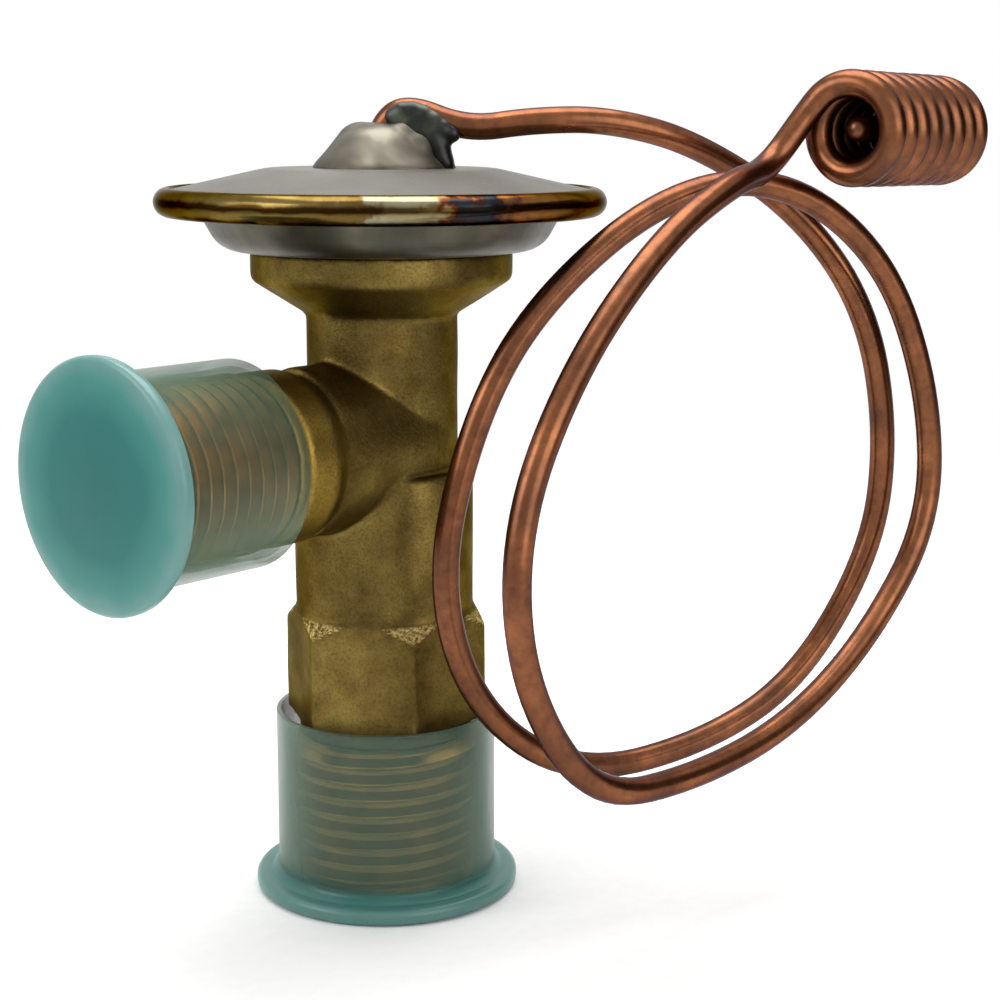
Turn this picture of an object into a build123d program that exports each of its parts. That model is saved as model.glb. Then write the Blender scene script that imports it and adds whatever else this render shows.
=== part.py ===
from build123d import *
import os
from math import asin, cos, degrees, radians, sin, sqrt, tan

# Thermostatic expansion valve, angle pattern, in millimetres.
# +Z runs up the valve's own axis and the inlet points along -X.
# The origin is the centre of the outlet cap's underside, on which the valve stands.

# ---- outlet end: 3/4-16 male thread, outlet chamber and its plastic cap ----
outlet_thread_d = 19.05
outlet_thread_length = 14.0
outlet_thread_pitch = 25.4 / 16
thread_depth_share = 0.6134     # depth of a unified external thread over its pitch
thread_chamfer = 1.0
relief_depth = 1.3              # how far a thread relief lies below the crests
relief_length = 1.5
chamber_d = 11.6                # outlet chamber, bored from the outlet end
cap_floor = 1.4
cap_flange_t = 1.5
cap_wall = 0.6
cap_gap = 0.33                  # loose fit of a cap over its thread
outlet_flange_d = 25.2
outlet_cap_height = 17.6
cap_edge_r = 0.5
cap_flare = 0.12                # a cap's bore widens this much at its mouth
cap_flare_depth = 1.6

# ---- forged body ----
hex_af = 17.0
hex_height = 9.0
hex_corner_r = 0.6
hex_cap_gap = 0.13              # the outlet cap's bore also clears the hexagon's corners
hex_chamfer_h = 1.7
barrel_d = 16.8
barrel_top = 40.9
barrel_edge_r = 0.6
neck_d = 14.0
parting_offset = 0.8            # the two die halves' arcs are this far apart
neck_top = 55.3
collar_d = 24.1
collar_cone_h = 3.2
collar_h = 2.6
collar_edge_r = 0.9
spigot_d = 16.0                 # stub that locates the diaphragm case
spigot_h = 1.2

# ---- inlet branch: 5/8-18 male thread ----
inlet_z = 43.45
branch_root_d = 14.6
branch_root_end = 11.3          # distance of the branch's waist from the axis
branch_waist_d = 14.1
branch_shoulder = 13.2
branch_collar_d = 15.6
inlet_thread_start = 17.9
inlet_thread_d = 15.875
inlet_thread_length = 14.3
inlet_thread_pitch = 25.4 / 18
inlet_socket_d = 10.4
inlet_socket_depth = 11.0
inlet_passage_d = 4.6
inlet_cap_height = 15.4
inlet_flange_d = 21.6
inlet_cap_wall = 0.8
inlet_cap_gap = 0.45

# ---- orifice, ball, rods, spring and adjuster ----
orifice_d = 2.8
seat_z = 33.0                   # lower face of the seat, where the ball closes
seat_d = 6.0
seat_length = 4.5
seat_lead = 0.35
throat_d = 4.0
ball_d = 4.4
ball_gap = 0.03
rod_d = 1.8
rod_clearance = 0.05
rod_spacing = 9.0               # the two rods stand either side of the inlet passage
carrier_d = 10.8
carrier_t = 1.6
carrier_boss_d = 5.4
carrier_stem_d = 4.4
carrier_stem_length = 6.5
boss_above_pocket = 0.65
spring_wire_d = 1.0
spring_mean_d = 7.8
spring_turns = 6
nut_bottom = 9.0
nut_t = 3.0
nut_socket_af = 6.0
running_clearance = 0.05
washer_t = 1.0
washer_d = 10.2
washer_hole_d = 6.4

# ---- diaphragm case ----
sheet_t = 0.9                   # pressed case sheet
diaphragm_t = 0.2
cup_floor_r = 13.2
cup_bend_r = 2.9
flange_inner_r = 16.6
flange_edge_r = 19.4
rim_r = 1.3
cup_depth = 3.4                 # collar top to the underside of the cup's flange
cover_rise = 2.0
plateau_r = 10.5
plate_d = 19.0
plate_t = 1.4
plate_edge_r = 0.3
diaphragm_sag = 0.8             # the diaphragm's middle lies this far below its rim

# ---- solder cone, capillary and sensing coil ----
tube_d = 2.4
tube_fit = 0.02
head_bend_r = 1.8               # tight bend of the capillary over the cone
cone_base_d = 13.2
cone_top_d = 7.4
cone_h = 3.8
cone_top_r = 1.0
coil_mean_d = 7.9
coil_turns = 8
coil_pitch = 2.43
coil_front = (22.3, -35.4, 72.15)
coil_yaw = 3.2                  # the coil's axis, turned from +X towards +Y
coil_pitch_down = 0.85
coil_start_angle = 38.0         # how far up its first turn the coil is met by the lead-in
probe_bend_r = 1.35
probe_length = 17.0             # sealed tube end that runs back inside the coil

# The capillary's route from the head to the coil: it leaves upright, bends over,
# and makes two hand-wound loops beside the valve.
capillary_route = [
    (0.0, 0.0, 67.0),
    (0.0, 0.0, 74.6),
    (4.3, -6.7, 72.6),
    (7.6, -11.6, 72.8),
    (12.8, -16.4, 72.9),
    (21.2, -20.3, 70.7),
    (32.7, -24.3, 64.2),
    (36.4, -29.9, 54.9),
    (39.2, -31.0, 42.6),
    (39.1, -30.0, 30.7),
    (30.4, -27.3, 18.6),
    (19.7, -23.4, 13.8),
    (6.1, -18.6, 12.9),
    (-4.0, -15.0, 20.7),
    (-7.7, -13.7, 33.1),
    (-4.5, -15.1, 47.1),
    (1.0, -17.8, 57.2),
    (12.1, -23.0, 66.4),
    (23.1, -28.3, 67.9),
    (33.5, -33.2, 60.4),
    (38.6, -35.7, 47.5),
    (39.8, -35.9, 34.4),
    (30.4, -34.9, 24.2),
    (18.9, -33.8, 18.1),
    (5.8, -32.5, 16.1),
    (-7.6, -31.2, 17.1),
    (-15.9, -30.4, 28.5),
    (-17.0, -30.3, 41.5),
    (-10.0, -30.6, 53.6),
    (1.2, -31.0, 63.3),
    (11.0, -31.3, 67.8),
    (18.6, -29.4, 68.3),
]
lead_run = 1.5                  # straight run of tube that leads into the coil

# ---- inlet strainer ----
screen_d = 7.1
screen_wall = 0.25
screen_length = 4.6
screen_nose_r = 1.5
ring_t = 1.5
ring_fit = 0.02

# ---- levels that follow from the sizes above ----
body_end = cap_floor
outlet_thread_top = body_end + outlet_thread_length
hex_bottom = outlet_thread_top + relief_length
hex_shoulder = hex_bottom + hex_height
hex_top = hex_shoulder + hex_chamfer_h
hex_corner_d = hex_af / cos(radians(30)) - 2 * hex_corner_r * (1 / cos(radians(30)) - 1)
cone_top_z = neck_top + collar_cone_h
collar_top = cone_top_z + collar_h
flange_z = collar_top + cup_depth
rim_z = flange_z + sheet_t + diaphragm_t / 2
cover_flange_z = flange_z + sheet_t + diaphragm_t
cover_edge_z = cover_flange_z + sheet_t
cover_top = cover_edge_z + cover_rise
plate_top = rim_z - diaphragm_t / 2 - diaphragm_sag
plate_bottom = plate_top - plate_t
inlet_face = inlet_thread_start + inlet_thread_length
ball_z = seat_z - sqrt((ball_d / 2) ** 2 - (orifice_d / 2) ** 2) - ball_gap
pocket_z = ball_z - ball_d / 2 * sin(radians(45)) - ball_gap
disc_top = pocket_z - boss_above_pocket
disc_bottom = disc_top - carrier_t
washer_bottom = nut_bottom + nut_t
washer_top = washer_bottom + washer_t


def turned(points, rounded=()):
    """A solid turned about Z from a closed outline of (radius, height) points.

    rounded lists corners of the outline as (radius, height, fillet radius).
    """
    face = make_face(Polyline(*points, close=True))
    for r, z, fillet_r in rounded:
        corner = face.vertices().sort_by_distance((r, z))[0]
        face = fillet(corner, fillet_r)
    return revolve(Plane.XZ * face, Axis.Z)


def along_inlet(part):
    """Turns a part made along +Z so that +Z becomes the inlet's outward way."""
    return Pos(0, 0, inlet_z) * Rot(0, -90, 0) * part


def rod(d, bottom, top):
    return Pos(0, 0, bottom) * Cylinder(d / 2, top - bottom, align=(Align.CENTER, Align.CENTER, Align.MIN))


def forged_section(d):
    """Two die arcs that meet in a ridge on the parting plane, at +X and -X."""
    half = d / 2
    arc_r = half + 0.7071 * parting_offset
    upper = Pos(0, parting_offset) * Circle(arc_r)
    lower = Pos(0, -parting_offset) * Circle(arc_r)
    return upper & lower


def hexagon():
    flats = RegularPolygon(radius=hex_af / 2, side_count=6, major_radius=False)
    flats = fillet(flats.vertices(), hex_corner_r)
    prism = Pos(0, 0, hex_bottom) * extrude(flats, hex_top - hex_bottom)
    corner_r = hex_af / 2 / cos(radians(30))
    nut_cone = turned([
        (0, hex_bottom),
        (corner_r, hex_bottom),
        (corner_r, hex_shoulder),
        (barrel_d / 2, hex_top),
        (0, hex_top),
    ])
    return prism & nut_cone


def thread_rings(crest, pitch, low, high):
    """Outline points for the whole thread grooves that fit between two levels."""
    root = crest - thread_depth_share * pitch
    count = int((high - low) / pitch)
    first = low + (high - low - count * pitch) / 2
    points = []
    for groove in range(count):
        z = first + groove * pitch
        points += [
            (crest, z + pitch / 16),
            (root, z + pitch * 7 / 16),
            (root, z + pitch * 9 / 16),
            (crest, z + pitch * 15 / 16),
        ]
    return points


def outlet_stub():
    crest = outlet_thread_d / 2
    relief = crest - relief_depth
    thread_low = body_end + thread_chamfer
    thread_high = outlet_thread_top - relief_depth / 2
    return turned([
        (0, body_end),
        (crest - thread_chamfer, body_end),
        (crest, thread_low),
        *thread_rings(crest, outlet_thread_pitch, thread_low, thread_high),
        (crest, thread_high),
        (relief, outlet_thread_top),
        (relief, hex_bottom),
        (0, hex_bottom),
    ])


def barrel():
    return turned(
        [(0, hex_top), (barrel_d / 2, hex_top), (barrel_d / 2, barrel_top), (0, barrel_top)],
        [(barrel_d / 2, barrel_top, barrel_edge_r)],
    )


def neck():
    rise = neck_top + barrel_edge_r - barrel_top
    return Pos(0, 0, barrel_top) * extrude(forged_section(neck_d), rise)


def head_collar():
    return turned(
        [
            (0, neck_top),
            (neck_d / 2, neck_top),
            (collar_d / 2, cone_top_z),
            (collar_d / 2, collar_top),
            (spigot_d / 2, collar_top),
            (spigot_d / 2, collar_top + spigot_h),
            (0, collar_top + spigot_h),
        ],
        [(collar_d / 2, cone_top_z, collar_edge_r)],
    )


def inlet_branch():
    """Drawn along +Z and laid along the inlet: forged root, waist, shoulder and thread."""
    root = extrude(forged_section(branch_root_d), branch_root_end)
    crest = inlet_thread_d / 2
    thread_high = inlet_face - thread_chamfer
    outside = turned([
        (0, 0),
        (branch_waist_d / 2, 0),
        (branch_waist_d / 2, branch_root_end + 0.4),
        (branch_collar_d / 2, branch_shoulder),
        (branch_collar_d / 2, inlet_thread_start - relief_depth),
        (crest - relief_depth, inlet_thread_start - relief_depth / 2),
        (crest, inlet_thread_start),
        *thread_rings(crest, inlet_thread_pitch, inlet_thread_start, thread_high),
        (crest, thread_high),
        (crest - thread_chamfer, inlet_face),
        (0, inlet_face),
    ])
    return along_inlet(root + outside)


def rod_holes():
    hole_d = rod_d + 2 * rod_clearance
    hole = rod(hole_d, seat_z - 1, collar_top + spigot_h + 1)
    return [Pos(0, side * rod_spacing / 2, 0) * hole for side in (-1, 1)]


def valve_body():
    solid = outlet_stub() + hexagon() + barrel() + neck() + head_collar() + inlet_branch()
    chamber = turned([
        (0, 0),
        (chamber_d / 2, 0),
        (chamber_d / 2, seat_z),
        (0, seat_z),
    ])
    seat_bore = rod(seat_d, seat_z - 1, seat_z + seat_length)
    throat = rod(throat_d, seat_z, inlet_z)
    passage = along_inlet(rod(inlet_passage_d, -throat_d / 2, inlet_face))
    socket = along_inlet(rod(inlet_socket_d, inlet_face - inlet_socket_depth, inlet_face + 1))
    return solid - chamber - seat_bore - throat - passage - socket - rod_holes()


def seat_insert():
    """Hard ring pressed in over the outlet chamber; its lower edge is the ball's seat."""
    return turned([
        (orifice_d / 2, seat_z),
        (seat_d / 2 - seat_lead, seat_z),
        (seat_d / 2, seat_z + seat_lead),
        (seat_d / 2, seat_z + seat_length),
        (throat_d / 2 - seat_lead, seat_z + seat_length),
        (orifice_d / 2, seat_z + seat_length - seat_lead),
    ])


def valve_ball():
    return Pos(0, 0, ball_z) * Sphere(ball_d / 2)


def ball_carrier():
    """Flanged pin: the rods press its disc, the ball sits in its cup, the spring lifts it."""
    boss_top = pocket_z + boss_above_pocket
    carrier = turned([
        (0, disc_bottom - carrier_stem_length),
        (carrier_stem_d / 2 - 0.4, disc_bottom - carrier_stem_length),
        (carrier_stem_d / 2, disc_bottom - carrier_stem_length + 0.4),
        (carrier_stem_d / 2, disc_bottom),
        (carrier_d / 2, disc_bottom),
        (carrier_d / 2, disc_top),
        (carrier_boss_d / 2, disc_top),
        (carrier_boss_d / 2, boss_top),
        (0, boss_top),
    ])
    cup_r = ball_d / 2 * sin(radians(45)) + boss_above_pocket
    cup = turned([(0, boss_top), (cup_r, boss_top), (0, boss_top - cup_r)])
    flow_notch = Pos(carrier_d / 2, 0, disc_top) * Box(3.0, 4.0, 3 * carrier_t)
    return carrier - cup - [Rot(0, 0, a) * flow_notch for a in (0, 180)]


def push_rod(side):
    pin = rod(rod_d, disc_top, plate_bottom)
    pin = chamfer(pin.edges().filter_by(GeomType.CIRCLE), rod_d / 8)
    return Pos(0, side * rod_spacing / 2, 0) * pin


def superheat_spring():
    height = disc_bottom - washer_top - spring_wire_d
    coil = Helix(pitch=height / spring_turns, height=height, radius=spring_mean_d / 2)
    start = Plane(origin=coil @ 0, z_dir=coil % 0)
    wire = sweep(start * Circle(spring_wire_d / 2), path=coil)
    wire = Pos(0, 0, washer_top + spring_wire_d / 2) * wire
    ground_ends = Pos(0, 0, (washer_top + disc_bottom) / 2) * Cylinder(spring_mean_d, disc_bottom - washer_top)
    return wire & ground_ends


def spring_seat():
    return turned([
        (washer_hole_d / 2, washer_bottom),
        (washer_d / 2, washer_bottom),
        (washer_d / 2, washer_top),
        (washer_hole_d / 2, washer_top),
    ])


def adjusting_nut():
    """Round threaded nut in the outlet chamber, turned by a hexagon key; flow passes its socket."""
    edge = chamber_d / 2 - running_clearance
    blank = turned([
        (0, nut_bottom),
        (edge - 0.4, nut_bottom),
        (edge, nut_bottom + 0.4),
        (edge, washer_bottom - 0.4),
        (edge - 0.4, washer_bottom),
        (0, washer_bottom),
    ])
    key = RegularPolygon(radius=nut_socket_af / 2, side_count=6, major_radius=False)
    return blank - Pos(0, 0, nut_bottom - 1) * extrude(key, nut_t + 2)


def thrust_plate():
    return turned(
        [(0, plate_bottom), (plate_d / 2, plate_bottom), (plate_d / 2, plate_top), (0, plate_top)],
        [(plate_d / 2, plate_bottom, plate_edge_r), (plate_d / 2, plate_top, plate_edge_r)],
    )


def diaphragm():
    """Thin disc gripped at its edge, with one corrugation round a flat middle."""
    low = plate_top
    high = flange_z + sheet_t
    middle_r = plate_d / 2
    ridge_r = (middle_r + flange_inner_r) / 2
    ridge_z = high + 0.15
    return turned([
        (0, low),
        (middle_r, low),
        (ridge_r - 1.2, low),
        (ridge_r, ridge_z),
        (ridge_r + 1.2, ridge_z),
        (flange_inner_r, high),
        (flange_edge_r, high),
        (flange_edge_r, high + diaphragm_t),
        (flange_inner_r, high + diaphragm_t),
        (ridge_r + 1.2, ridge_z + diaphragm_t),
        (ridge_r - 0.2, ridge_z + diaphragm_t),
        (ridge_r - 1.4, low + diaphragm_t),
        (0, low + diaphragm_t),
    ])


def lower_cup():
    """Pressed bowl on the body's collar: flat floor, rolled corner, flared wall and flange."""
    wall_r = flange_inner_r - sheet_t
    return turned(
        [
            (spigot_d / 2, collar_top),
            (cup_floor_r + 1.5, collar_top),
            (flange_inner_r, flange_z),
            (flange_edge_r, flange_z),
            (flange_edge_r, flange_z + sheet_t),
            (wall_r, flange_z + sheet_t),
            (cup_floor_r + 1.0, collar_top + sheet_t),
            (spigot_d / 2, collar_top + sheet_t),
        ],
        [
            (cup_floor_r + 1.5, collar_top, cup_bend_r),
            (cup_floor_r + 1.0, collar_top + sheet_t, cup_bend_r - sheet_t),
            (flange_inner_r, flange_z, 0.4),
            (wall_r, flange_z + sheet_t, 0.8),
        ],
    )


def upper_cover():
    """Pressed cover: gripped edge, long shallow slope and a flat plateau with the tube's hole."""
    hole_r = tube_d / 2 + tube_fit
    return turned(
        [
            (hole_r, cover_top),
            (plateau_r, cover_top),
            (flange_edge_r, cover_edge_z),
            (flange_edge_r, cover_flange_z),
            (flange_inner_r, cover_flange_z),
            (plateau_r, cover_top - sheet_t),
            (hole_r, cover_top - sheet_t),
        ],
        [(plateau_r, cover_top, 6.0), (plateau_r, cover_top - sheet_t, 6.0)],
    )


def rim_weld():
    """The fused bead that closes the case: a half-round band about the three edges."""
    band = make_face(
        Polyline((flange_edge_r, rim_z - rim_r), (flange_edge_r, rim_z + rim_r))
        + RadiusArc((flange_edge_r, rim_z - rim_r), (flange_edge_r, rim_z + rim_r), -rim_r)
    )
    return revolve(Plane.XZ * band, Axis.Z)


def solder_cone():
    hole_r = tube_d / 2 + tube_fit
    return turned(
        [
            (hole_r, cover_top),
            (cone_base_d / 2, cover_top),
            (cone_top_d / 2 + 0.9, cover_top + cone_h * 0.62),
            (cone_top_d / 2, cover_top + cone_h),
            (hole_r, cover_top + cone_h),
        ],
        [
            (cone_top_d / 2 + 0.9, cover_top + cone_h * 0.62, 2.0),
            (cone_top_d / 2, cover_top + cone_h, cone_top_r),
        ],
    )


def coil_frame():
    """The coil's own plane: origin at its front, Z along the coil, X towards the lead-in."""
    along = Vector(1, 0, 0).rotate(Axis.Y, coil_pitch_down).rotate(Axis.Z, coil_yaw)
    side = Vector(0, 0, 1).cross(along).normalized()
    return Plane(origin=coil_front, x_dir=side, z_dir=along)


def corner_radii(points, share=0.45):
    """The largest even arc at each corner: a share of the shorter run beside it."""
    radii = []
    for before, here, after in zip(points, points[1:], points[2:]):
        run_in = Vector(*here) - Vector(*before)
        run_out = Vector(*after) - Vector(*here)
        half_turn = radians(run_in.get_angle(run_out) / 2)
        radii.append(share * min(run_in.length, run_out.length) / tan(half_turn))
    return radii


def tube_along(path):
    start = Plane(origin=path @ 0, z_dir=path % 0)
    return sweep(start * Circle(tube_d / 2), path=path)


def capillary_tube():
    frame = coil_frame()
    coil_r = coil_mean_d / 2
    # The last turn stops short, where the tube can turn in to the middle of the coil.
    end_angle = degrees(asin(probe_bend_r / (coil_r - probe_bend_r)))
    turns = coil_turns - (end_angle + coil_start_angle) / 360
    coil_line = Helix(pitch=coil_pitch, height=coil_pitch * turns, radius=coil_r)
    coil_line = frame.location * Rot(0, 0, coil_start_angle) * coil_line
    first_way = coil_line % 0
    last_way = coil_line % 1
    coil_start = coil_line @ 0
    coil_end = coil_line @ 1

    foot = coil_start - first_way * lead_run
    points = capillary_route + [tuple(foot), tuple(coil_start)]
    radii = corner_radii(points)
    radii[0] = head_bend_r
    lead = FilletPolyline(*points, radius=radii)

    # The sealed end: off the last turn, in to the coil's axis and back along it.
    local_end = frame.to_local_coords(coil_end)
    local_way = frame.to_local_coords(coil_end + last_way) - local_end
    reach = -local_end.Y / local_way.Y
    turn_in = local_end + local_way * reach
    on_axis = Vector(0, 0, turn_in.Z)
    tip = Vector(0, 0, turn_in.Z - probe_length)
    probe_points = [frame.from_local_coords(p) for p in (local_end, turn_in, on_axis, tip)]
    probe = FilletPolyline(*probe_points, radius=probe_bend_r * 0.98)
    nose = Pos(probe_points[-1]) * Sphere(tube_d / 2)
    tube = tube_along(lead) + tube_along(coil_line) + tube_along(probe) + nose
    print("capillary length", round(lead.length + coil_line.length + probe.length, 1))
    return tube


def thread_cap(inner, wall, height, flange_d):
    """Push-on cap, drawn standing on its flange with its mouth upwards."""
    outer = inner + wall
    return turned(
        [
            (0, 0),
            (flange_d / 2, 0),
            (flange_d / 2, cap_flange_t),
            (outer, cap_flange_t),
            (outer, height),
            (inner + cap_flare, height),
            (inner, height - cap_flare_depth),
            (inner, cap_floor),
            (0, cap_floor),
        ],
        [
            (flange_d / 2, 0, cap_edge_r),
            (flange_d / 2, cap_flange_t, cap_edge_r),
            (outer, cap_flange_t, 0.3),
        ],
    )


def outlet_cap():
    hex_reach = hex_corner_d / 2 + hex_cap_gap
    inner = max(outlet_thread_d / 2 + cap_gap, hex_reach)
    return thread_cap(inner, cap_wall, outlet_cap_height, outlet_flange_d)


def inlet_cap():
    inner = inlet_thread_d / 2 + inlet_cap_gap
    cap = thread_cap(inner, inlet_cap_wall, inlet_cap_height, inlet_flange_d)
    return along_inlet(Pos(0, 0, inlet_face + cap_floor) * Rot(180, 0, 0) * cap)


def strainer_ring():
    seat = inlet_face - inlet_socket_depth
    edge = inlet_socket_d / 2 - ring_fit
    hole = screen_d / 2 - screen_wall
    ring = turned([(hole, seat), (edge, seat), (edge, seat + ring_t), (hole, seat + ring_t)])
    return along_inlet(ring)


def strainer_screen():
    """Fine mesh thimble on the ring, closed towards the inlet's mouth."""
    base = inlet_face - inlet_socket_depth + ring_t
    top = base + screen_length
    outer = screen_d / 2
    inner = outer - screen_wall
    thimble = turned(
        [
            (0, top - screen_wall),
            (inner, top - screen_wall),
            (inner, base),
            (outer, base),
            (outer, top),
            (0, top),
        ],
        [(inner, top - screen_wall, screen_nose_r - screen_wall), (outer, top, screen_nose_r)],
    )
    return along_inlet(thimble)


nodes = {
    "valve_body": valve_body,
    "seat_insert": seat_insert,
    "valve_ball": valve_ball,
    "ball_carrier": ball_carrier,
    "superheat_spring": superheat_spring,
    "spring_seat": spring_seat,
    "adjusting_nut": adjusting_nut,
    "push_rod_front": lambda: push_rod(-1),
    "push_rod_back": lambda: push_rod(1),
    "thrust_plate": thrust_plate,
    "diaphragm": diaphragm,
    "lower_cup": lower_cup,
    "upper_cover": upper_cover,
    "rim_weld": rim_weld,
    "solder_cone": solder_cone,
    "capillary_tube": capillary_tube,
    "strainer_ring": strainer_ring,
    "strainer_screen": strainer_screen,
    "outlet_cap": outlet_cap,
    "inlet_cap": inlet_cap,
}

os.makedirs("parts", exist_ok=True)
for name, make in nodes.items():
    export_step(make(), os.path.join("parts", name + ".step"))
    print("made", name)
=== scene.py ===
# %% [markdown]
# # A thermostatic expansion valve and its finishes
#
# The valve meters refrigerant into an evaporator. A forged brass body carries a round
# steel diaphragm case on top, a thin copper capillary with its sensing coil, and two
# threaded ports that travel under push-on plastic caps.
#
# The solid model already has every size and every moving part. This script keeps that
# frame and gives each visible surface the shape and finish that a plain solid lacks:
# real threads, the softened edges of a forging, a weld bead, solder, and the look of
# drawn copper. All lengths are metres, so sizes are written in millimetres times `MM`.

from math import atan2, cos, degrees, hypot, pi, radians, sin, tau

import bmesh
import bpy
from mathutils import Matrix, Vector, noise


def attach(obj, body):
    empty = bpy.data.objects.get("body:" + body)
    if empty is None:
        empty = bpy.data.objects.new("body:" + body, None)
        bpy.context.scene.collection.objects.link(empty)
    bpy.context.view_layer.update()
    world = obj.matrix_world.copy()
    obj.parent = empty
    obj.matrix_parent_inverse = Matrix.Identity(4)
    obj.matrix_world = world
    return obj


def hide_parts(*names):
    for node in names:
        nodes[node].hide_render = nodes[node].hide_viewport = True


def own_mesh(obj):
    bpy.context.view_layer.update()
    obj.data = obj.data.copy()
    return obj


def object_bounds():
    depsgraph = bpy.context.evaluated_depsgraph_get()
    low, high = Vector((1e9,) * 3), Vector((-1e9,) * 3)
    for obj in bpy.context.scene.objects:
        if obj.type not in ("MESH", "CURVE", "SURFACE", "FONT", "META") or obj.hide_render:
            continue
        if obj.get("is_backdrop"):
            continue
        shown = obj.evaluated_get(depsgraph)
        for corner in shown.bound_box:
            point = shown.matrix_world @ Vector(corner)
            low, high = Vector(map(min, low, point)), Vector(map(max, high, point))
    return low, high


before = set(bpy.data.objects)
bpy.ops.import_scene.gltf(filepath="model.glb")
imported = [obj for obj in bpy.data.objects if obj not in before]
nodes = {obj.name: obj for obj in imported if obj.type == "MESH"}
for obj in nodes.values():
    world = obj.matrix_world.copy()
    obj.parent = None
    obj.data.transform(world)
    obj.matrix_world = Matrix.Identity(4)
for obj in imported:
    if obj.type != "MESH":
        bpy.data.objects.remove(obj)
cad_box = [list(corner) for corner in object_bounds()]
MM = 0.001

# %% [markdown]
# ## Two small tools for finishes
#
# A finish is a handful of nodes. Node trees can be built by hand in the editor, but a
# script is easier to repeat and to tune. One function turns the colours that people
# write, sRGB hex, into the linear values that a renderer needs. The other adds a node
# with its settings and its links, so that a tree reads from top to bottom.

# %% Colours and nodes
def linear(hex_code):
    """An sRGB colour such as #A8653A as linear red, green, blue and alpha."""
    parts = [int(hex_code[i:i + 2], 16) / 255 for i in (1, 3, 5)]
    return [c / 12.92 if c <= 0.04045 else ((c + 0.055) / 1.055) ** 2.4 for c in parts] + [1.0]


def add(tree, kind, settings=(), inputs=()):
    """Adds one node. Inputs are sockets by name or number: a value, a colour or an output."""
    node = tree.nodes.new("ShaderNode" + kind)
    for key, value in dict(settings).items():
        if key == "stops":
            stops = node.color_ramp.elements
            while len(stops) < len(value):
                stops.new(0.5)
            for stop, (position, colour) in zip(stops, value):
                stop.position = position
                stop.color = linear(colour)
        else:
            setattr(node, key, value)
    for key, value in dict(inputs).items():
        socket = node.inputs[key]
        if isinstance(value, bpy.types.NodeSocket):
            tree.links.new(value, socket)
        elif isinstance(value, str):
            socket.default_value = linear(value)
        else:
            socket.default_value = value
    return node


def new_finish(name):
    """A material with its node tree emptied down to one Principled shader."""
    material = bpy.data.materials.new(name)
    material.use_nodes = True
    tree = material.node_tree
    tree.nodes.clear()
    shader = add(tree, "BsdfPrincipled")
    add(tree, "OutputMaterial", inputs={"Surface": shader.outputs[0]})
    place = add(tree, "TexCoord").outputs["Object"]
    return material, tree, shader, place


def grain(size_mm):
    """The texture scale at which a pattern's features are about this wide."""
    return 1 / (size_mm * MM)


# %% [markdown]
# ## Forged and shot-blasted brass
#
# The body is hot-forged from yellow brass, then blasted with steel shot, so it is dull,
# olive-gold and covered in tiny craters about 0.2 mm across. A single roughness value
# would look like paint. Noises of different sizes do the work instead: broad stains from
# heat and handling, medium dents, and fine specks and grit from the blasting, one in the
# colour and one in the bump. Where the lathe has cut the branch's shoulder the metal is
# cleaner, so a mask along the branch changes its tone there. The chamfers at the
# hexagon's corners are crumbled, and a second mask finds them by radius, height and an
# upward slope: there the crumbs are bumped, and the colour is a painted highlight, much
# lighter, as if the overhead light caught them.

# %% Forged brass
LATHE_CUT_FROM = -12.6
HEX_CHAMFER = (25.4, 28.0)
CORNER_RADIUS = 8.6
forged_brass, tree, shader, place = new_finish("shot_blasted_forged_brass")
stain = add(tree, "TexNoise", inputs={"Vector": place, "Scale": grain(6), "Detail": 5.0, "Roughness": 0.62})
tone = add(tree, "ValToRGB",
           {"stops": [(0.3, "#4E3F1F"), (0.46, "#62512A"), (0.6, "#726133"), (0.75, "#82723D")]},
           {"Fac": stain.outputs["Fac"]})
speck = add(tree, "TexNoise", inputs={"Vector": place, "Scale": grain(0.24), "Detail": 2.0, "Roughness": 0.6})
speck_tone = add(tree, "ValToRGB", {"stops": [(0.34, "#B5AEA2"), (0.52, "#F0F0F0"), (0.68, "#FFF8E0")]},
                 {"Fac": speck.outputs["Fac"]})
worn = add(tree, "Mix", {"data_type": "RGBA", "blend_type": "MULTIPLY"},
           {"Factor": 0.55, 6: tone.outputs["Color"], 7: speck_tone.outputs["Color"]})
axes = add(tree, "SeparateXYZ", inputs={"Vector": place})
frayed = add(tree, "Math", {"operation": "MULTIPLY_ADD"},
             {0: stain.outputs["Fac"], 1: 1.2 * MM, 2: axes.outputs["X"]})
lathe_cut = add(tree, "MapRange", {"interpolation_type": "SMOOTHSTEP"}, {
    "Value": frayed.outputs[0], "From Min": LATHE_CUT_FROM * MM, "From Max": (LATHE_CUT_FROM - 1.0) * MM})
cleaner = add(tree, "Mix", {"data_type": "RGBA", "blend_type": "MULTIPLY"},
              {"Factor": 0.6, 6: "#8F7838", 7: speck_tone.outputs["Color"]})
cut_or_not = add(tree, "Mix", {"data_type": "RGBA"},
                 {"Factor": lathe_cut.outputs["Result"], 6: worn.outputs[2], 7: cleaner.outputs[2]})
flat_place = add(tree, "Mapping", {"vector_type": "POINT"}, {"Vector": place, "Scale": (1, 1, 0)})
from_axis = add(tree, "VectorMath", {"operation": "LENGTH"}, {0: flat_place.outputs[0]})
on_corner = add(tree, "MapRange", inputs={
    "Value": from_axis.outputs["Value"], "From Min": CORNER_RADIUS * MM, "From Max": 8.8 * MM})
above = add(tree, "MapRange", inputs={
    "Value": axes.outputs["Z"], "From Min": HEX_CHAMFER[0] * MM, "From Max": 25.9 * MM})
below = add(tree, "MapRange", inputs={
    "Value": axes.outputs["Z"], "From Min": HEX_CHAMFER[1] * MM, "From Max": 27.6 * MM})
# The slope test picks facets that face upwards, where the painted highlight goes.
facing = add(tree, "SeparateXYZ", inputs={"Vector": add(tree, "NewGeometry").outputs["True Normal"]})
sloping = add(tree, "MapRange", inputs={"Value": facing.outputs["Z"], "From Min": 0.12, "From Max": 0.3})
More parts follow.
